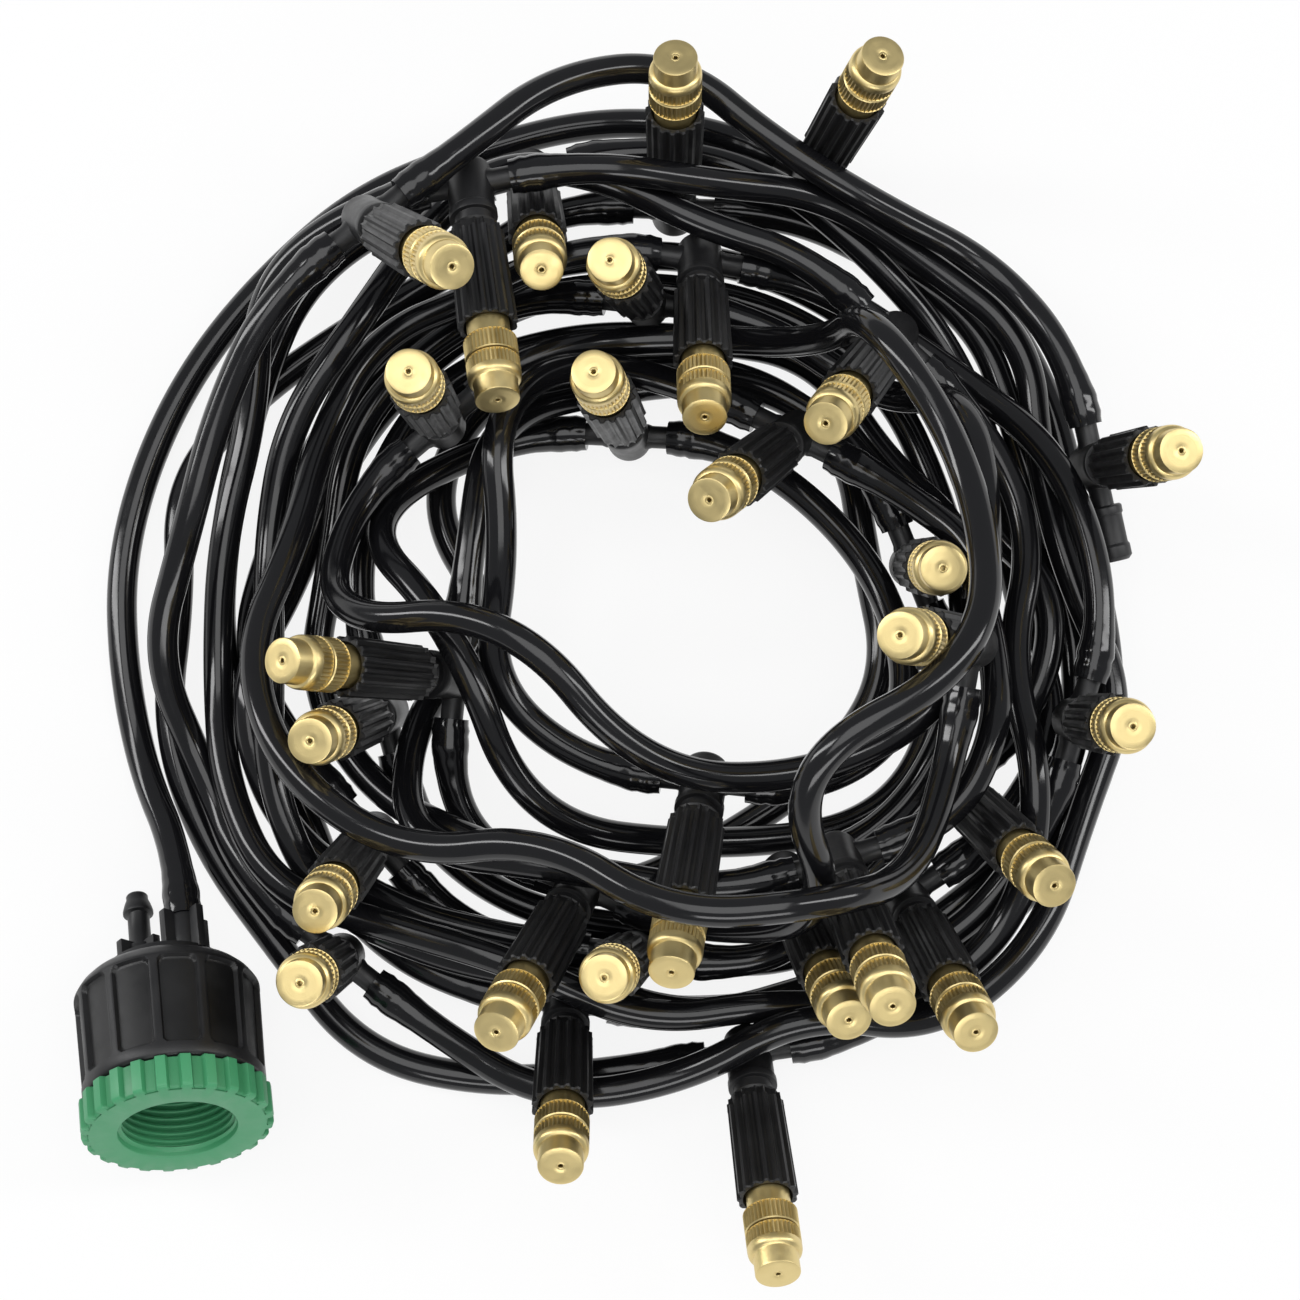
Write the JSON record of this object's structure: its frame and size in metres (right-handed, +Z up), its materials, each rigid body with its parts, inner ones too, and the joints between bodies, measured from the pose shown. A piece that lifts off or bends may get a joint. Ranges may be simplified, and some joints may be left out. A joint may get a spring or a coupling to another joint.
{
  "type": "misting hose line",
  "caption": "Coiled black misting hose with barbed tees, ribbed holders and adjustable brass nozzles, on a black tap connector with a green thread adapter.",
  "frame": {"origin": "on the floor, under the middle of the box around the whole coil and its connector", "axes": "+Z up from the floor the coil lies on; the tap connector is towards -X and -Y"},
  "size_m": [0.2464, 0.2792, 0.105],
  "materials": {
    "hose_black": "glossy soft PVC",
    "fitting_black": "satin moulded",
    "brass": "turned",
    "adapter_green": "satin moulded",
    "seal_rubber": "matte"
  },
  "bodies": {
    "line": {"tees": "fitting_black", "nozzle_holders": "fitting_black", "nozzle_stems": "brass", "cap_seals": "seal_rubber", "end_cap": "fitting_black", "tap_body": "fitting_black", "hose_01_02": "hose_black", "hose_03_04": "hose_black", "hose_05_06": "hose_black", "hose_07_08": "hose_black", "hose_09_10": "hose_black", "hose_11_12": "hose_black", "hose_13_14": "hose_black", "hose_15_16": "hose_black", "hose_17_18": "hose_black", "hose_19_20": "hose_black", "hose_21_22": "hose_black", "hose_23_24": "hose_black", "hose_25_26": "hose_black", "hose_27_28": "hose_black"},
    "adapter_seal": {"adapter_washer": "seal_rubber"},
    "adapter": {"thread_adapter": "adapter_green", "inlet_washer": "seal_rubber"},
    "cap_01": {"nozzle_cap_01": "brass"},
    "cap_02": {"nozzle_cap_02": "brass"},
    "cap_03": {"nozzle_cap_03": "brass"},
    "cap_04": {"nozzle_cap_04": "brass"},
    "cap_05": {"nozzle_cap_05": "brass"},
    "cap_06": {"nozzle_cap_06": "brass"},
    "cap_07": {"nozzle_cap_07": "brass"},
    "cap_08": {"nozzle_cap_08": "brass"},
    "cap_09": {"nozzle_cap_09": "brass"},
    "cap_10": {"nozzle_cap_10": "brass"},
    "cap_11": {"nozzle_cap_11": "brass"},
    "cap_12": {"nozzle_cap_12": "brass"},
    "cap_13": {"nozzle_cap_13": "brass"},
    "cap_14": {"nozzle_cap_14": "brass"},
    "cap_15": {"nozzle_cap_15": "brass"},
    "cap_16": {"nozzle_cap_16": "brass"},
    "cap_17": {"nozzle_cap_17": "brass"},
    "cap_18": {"nozzle_cap_18": "brass"},
    "cap_19": {"nozzle_cap_19": "brass"},
    "cap_20": {"nozzle_cap_20": "brass"},
    "cap_21": {"nozzle_cap_21": "brass"},
    "cap_22": {"nozzle_cap_22": "brass"},
    "cap_23": {"nozzle_cap_23": "brass"},
    "cap_24": {"nozzle_cap_24": "brass"},
    "cap_25": {"nozzle_cap_25": "brass"},
    "cap_26": {"nozzle_cap_26": "brass"},
    "cap_27": {"nozzle_cap_27": "brass"},
    "cap_28": {"nozzle_cap_28": "brass"}
  },
  "joints": [
    {"name": "adapter_travel", "type": "slide", "parent": "line", "child": "adapter_seal", "axis": [0.1412, -0.9228, 0.3584], "range_m": [0, 0.0109]},
    {"name": "adapter_turn", "type": "hinge", "parent": "adapter_seal", "child": "adapter", "pos_m": [-0.09834, -0.10584, 0.03141], "axis": [0.1412, -0.9228, 0.3584], "range_deg": [0, 2160]},
    {"name": "cap_01_turn", "type": "hinge", "parent": "line", "child": "cap_01", "pos_m": [0.01, 0.1254, 0.05525], "axis": [0, 0.2588, 0.9659], "range_deg": [0, 720]},
    {"name": "cap_02_turn", "type": "hinge", "parent": "line", "child": "cap_02", "pos_m": [0.05367, 0.12701, 0.05552], "axis": [0.2241, 0.1294, 0.9659], "range_deg": [0, 720]},
    {"name": "cap_03_turn", "type": "hinge", "parent": "line", "child": "cap_03", "pos_m": [-0.04077, 0.07293, 0.09171], "axis": [0.361, -0.4458, 0.8192], "range_deg": [0, 720]},
    {"name": "cap_04_turn", "type": "hinge", "parent": "line", "child": "cap_04", "pos_m": [-0.03023, 0.06, 0.05826], "axis": [0.1284, -0.938, 0.3221], "range_deg": [0, 720]},
    {"name": "cap_05_turn", "type": "hinge", "parent": "line", "child": "cap_05", "pos_m": [-0.02038, 0.08853, 0.04776], "axis": [0.0672, -0.6393, 0.766], "range_deg": [0, 720]},
    {"name": "cap_06_turn", "type": "hinge", "parent": "line", "child": "cap_06", "pos_m": [-0.00307, 0.07961, 0.06436], "axis": [-0.1277, -0.1418, 0.9816], "range_deg": [0, 720]},
    {"name": "cap_07_turn", "type": "hinge", "parent": "line", "child": "cap_07", "pos_m": [-0.00668, 0.05489, 0.05888], "axis": [-0.1177, -0.0315, 0.9925], "range_deg": [0, 720]},
    {"name": "cap_08_turn", "type": "hinge", "parent": "line", "child": "cap_08", "pos_m": [-0.0462, 0.05056, 0.07587], "axis": [-0.0614, -0.0846, 0.9945], "range_deg": [0, 720]},
    {"name": "cap_09_turn", "type": "hinge", "parent": "line", "child": "cap_09", "pos_m": [0.01624, 0.05526, 0.05307], "axis": [0.0085, -0.7948, 0.6068], "range_deg": [0, 720]},
    {"name": "cap_10_turn", "type": "hinge", "parent": "line", "child": "cap_10", "pos_m": [0.02049, 0.03006, 0.06299], "axis": [-0.3371, -0.464, 0.8192], "range_deg": [0, 720]},
    {"name": "cap_11_turn", "type": "hinge", "parent": "line", "child": "cap_11", "pos_m": [0.04533, 0.04856, 0.06157], "axis": [-0.2999, -0.5584, 0.7734], "range_deg": [0, 720]},
    {"name": "cap_12_turn", "type": "hinge", "parent": "line", "child": "cap_12", "pos_m": [0.11634, 0.03789, 0.06312], "axis": [0.1955, -0.198, 0.9605], "range_deg": [0, 720]},
    {"name": "cap_13_turn", "type": "hinge", "parent": "line", "child": "cap_13", "pos_m": [0.06682, 0.0136, 0.05791], "axis": [0.0378, -0.2389, 0.9703], "range_deg": [0, 720]},
    {"name": "cap_14_turn", "type": "hinge", "parent": "line", "child": "cap_14", "pos_m": [0.05867, -0.00943, 0.09363], "axis": [-0.3249, -0.1677, 0.9307], "range_deg": [0, 720]},
    {"name": "cap_15_turn", "type": "hinge", "parent": "line", "child": "cap_15", "pos_m": [0.10478, -0.02328, 0.06836], "axis": [0.0806, -0.21, 0.9744], "range_deg": [0, 720]},
    {"name": "cap_16_turn", "type": "hinge", "parent": "line", "child": "cap_16", "pos_m": [-0.06808, -0.0082, 0.06058], "axis": [-0.5755, -0.1072, 0.8108], "range_deg": [0, 720]},
    {"name": "cap_17_turn", "type": "hinge", "parent": "line", "child": "cap_17", "pos_m": [-0.06612, -0.0232, 0.05623], "axis": [-0.19, -0.2884, 0.9385], "range_deg": [0, 720]},
    {"name": "cap_18_turn", "type": "hinge", "parent": "line", "child": "cap_18", "pos_m": [-0.06512, -0.05817, 0.05447], "axis": [-0.1318, -0.4089, 0.903], "range_deg": [0, 720]},
    {"name": "cap_19_turn", "type": "hinge", "parent": "line", "child": "cap_19", "pos_m": [-0.06834, -0.07611, 0.0588], "axis": [-0.0582, -0.2173, 0.9744], "range_deg": [0, 720]},
    {"name": "cap_20_turn", "type": "hinge", "parent": "line", "child": "cap_20", "pos_m": [0.01012, -0.06745, 0.05906], "axis": [-0.1249, -0.7888, 0.6018], "range_deg": [0, 720]},
    {"name": "cap_21_turn", "type": "hinge", "parent": "line", "child": "cap_21", "pos_m": [-0.00422, -0.07572, 0.06468], "axis": [-0.0915, -0.2055, 0.9744], "range_deg": [0, 720]},
    {"name": "cap_22_turn", "type": "hinge", "parent": "line", "child": "cap_22", "pos_m": [-0.02492, -0.08208, 0.06077], "axis": [-0.2774, -0.623, 0.7314], "range_deg": [0, 720]},
    {"name": "cap_23_turn", "type": "hinge", "parent": "line", "child": "cap_23", "pos_m": [-0.01459, -0.10815, 0.04415], "axis": [0, -0.6691, 0.7431], "range_deg": [0, 720]},
    {"name": "cap_24_turn", "type": "hinge", "parent": "line", "child": "cap_24", "pos_m": [0.03081, -0.12837, 0.03401], "axis": [0.0886, -0.8434, 0.5299], "range_deg": [0, 720]},
    {"name": "cap_25_turn", "type": "hinge", "parent": "line", "child": "cap_25", "pos_m": [0.05277, -0.0781, 0.07338], "axis": [0.1446, -0.6263, 0.766], "range_deg": [0, 720]},
    {"name": "cap_26_turn", "type": "hinge", "parent": "line", "child": "cap_26", "pos_m": [0.04445, -0.07868, 0.05224], "axis": [0.1879, -0.6147, 0.766], "range_deg": [0, 720]},
    {"name": "cap_27_turn", "type": "hinge", "parent": "line", "child": "cap_27", "pos_m": [0.07157, -0.08095, 0.04733], "axis": [0.1931, -0.597, 0.7786], "range_deg": [0, 720]},
    {"name": "cap_28_turn", "type": "hinge", "parent": "line", "child": "cap_28", "pos_m": [0.08752, -0.05121, 0.05088], "axis": [0.2868, -0.4967, 0.8192], "range_deg": [0, 720]}
  ],
  "couplings": [
    {"joint": "adapter_travel", "follows": "adapter_turn", "m_per_rad": 0.00028871}
  ]
}
